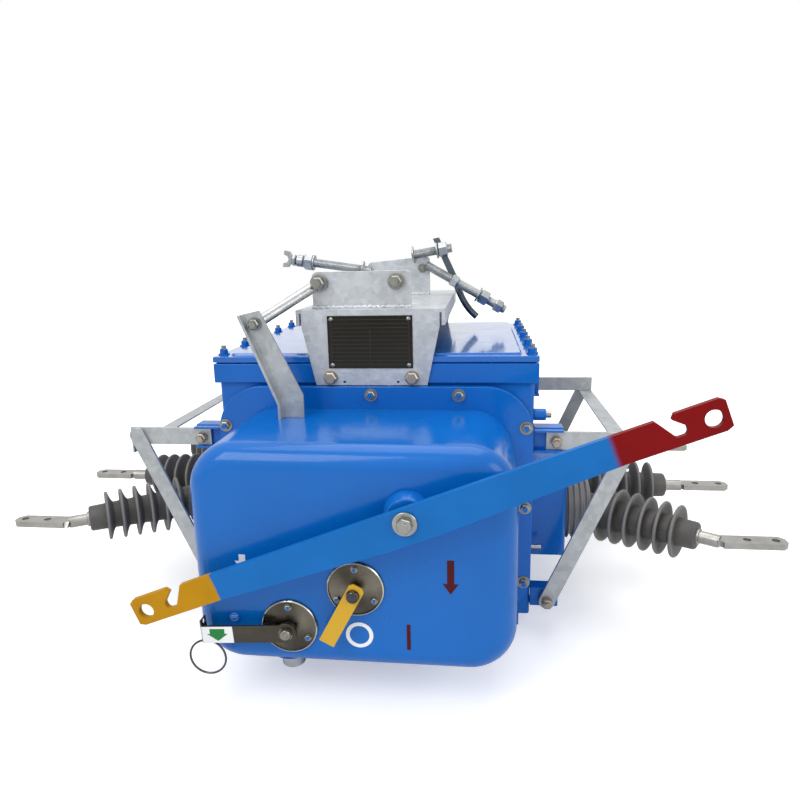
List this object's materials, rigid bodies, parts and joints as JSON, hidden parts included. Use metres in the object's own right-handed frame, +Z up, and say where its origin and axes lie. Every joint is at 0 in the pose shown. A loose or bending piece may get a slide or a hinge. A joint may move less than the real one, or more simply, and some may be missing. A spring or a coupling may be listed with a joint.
{
  "type": "vacuum load break switch",
  "caption": "Pole-mounted box-type vacuum load break switch with splayed ribbed bushings, hand lever, trip ring and hanger.",
  "frame": {"origin": "centre of the tank's flat underside", "axes": "+X to the right along the phases' terminals, -Y out of the mechanism hood, +Z up"},
  "size_m": [1.218, 0.7364, 0.628],
  "materials": {
    "tank_paint": "gloss enamel",
    "lever_paint": "gloss enamel",
    "pointer_paint": "gloss enamel",
    "galvanised": "hot-dip galvanised, dull spangle",
    "zinc_fastener": "zinc plated",
    "stainless": "turned stainless",
    "silicone": "matte silicone",
    "tinned_copper": "dull tinned",
    "plate_black": "etched black plate"
  },
  "bodies": {
    "switch": {"bottom_pan": "tank_paint", "tank_body": "tank_paint", "tank_band": "tank_paint", "lid": "tank_paint", "front_cover": "tank_paint", "mechanism_hood": "tank_paint", "lever_boss": "tank_paint", "trip_plate": "stainless", "indicator_plate": "stainless", "cable_socket": "zinc_fastener", "side_housing_left": "tank_paint", "side_housing_right": "tank_paint", "bushings": "silicone", "bushing_collars": "silicone", "clamp_straps": "galvanised", "earth_boss": "tank_paint", "earth_studs": "zinc_fastener", "terminals_left": "tinned_copper", "terminals_right": "tinned_copper", "guard_lugs_left": "tank_paint", "guard_lugs_right": "tank_paint", "guard_bars_left": "galvanised", "guard_bars_right": "galvanised", "guard_struts_left": "galvanised", "guard_struts_right": "galvanised", "guard_rail_left": "galvanised", "guard_rail_right": "galvanised", "hanger_carrier": "galvanised", "hanger_bolts": "zinc_fastener", "front_upright": "galvanised", "rear_upright": "galvanised", "nameplate": "plate_black", "clamp_bolts": "zinc_fastener", "brace_bar": "galvanised", "brace_rod": "zinc_fastener"},
    "hand_lever": {"hand_lever": "lever_paint", "lever_bolt": "zinc_fastener", "lever_shaft": "zinc_fastener"},
    "indicator_pointer": {"indicator_pointer": "pointer_paint"},
    "trip_handle": {"trip_handle": "stainless"},
    "trip_ring": {"trip_ring": "stainless"}
  },
  "joints": [
    {"name": "hand_lever_turn", "type": "hinge", "parent": "switch", "child": "hand_lever", "pos_m": [0.076, -0.46, 0.292], "axis": [0, 1, 0], "range_deg": [0, 42]},
    {"name": "pointer_turn", "type": "hinge", "parent": "switch", "child": "indicator_pointer", "pos_m": [0.007, -0.4555, 0.187], "axis": [0, 1, 0], "range_deg": [-80, 0]},
    {"name": "trip_pull", "type": "hinge", "parent": "switch", "child": "trip_handle", "pos_m": [-0.082, -0.4555, 0.13], "axis": [0, 1, 0], "range_deg": [-30, 0], "stiffness_Nm_per_rad": 0.8, "springref_deg": 22.92},
    {"name": "ring_swing", "type": "hinge", "parent": "trip_handle", "child": "trip_ring", "pos_m": [-0.1939, -0.448, 0.10863], "axis": [0, 1, 0], "range_deg": [-35, 35]}
  ]
}
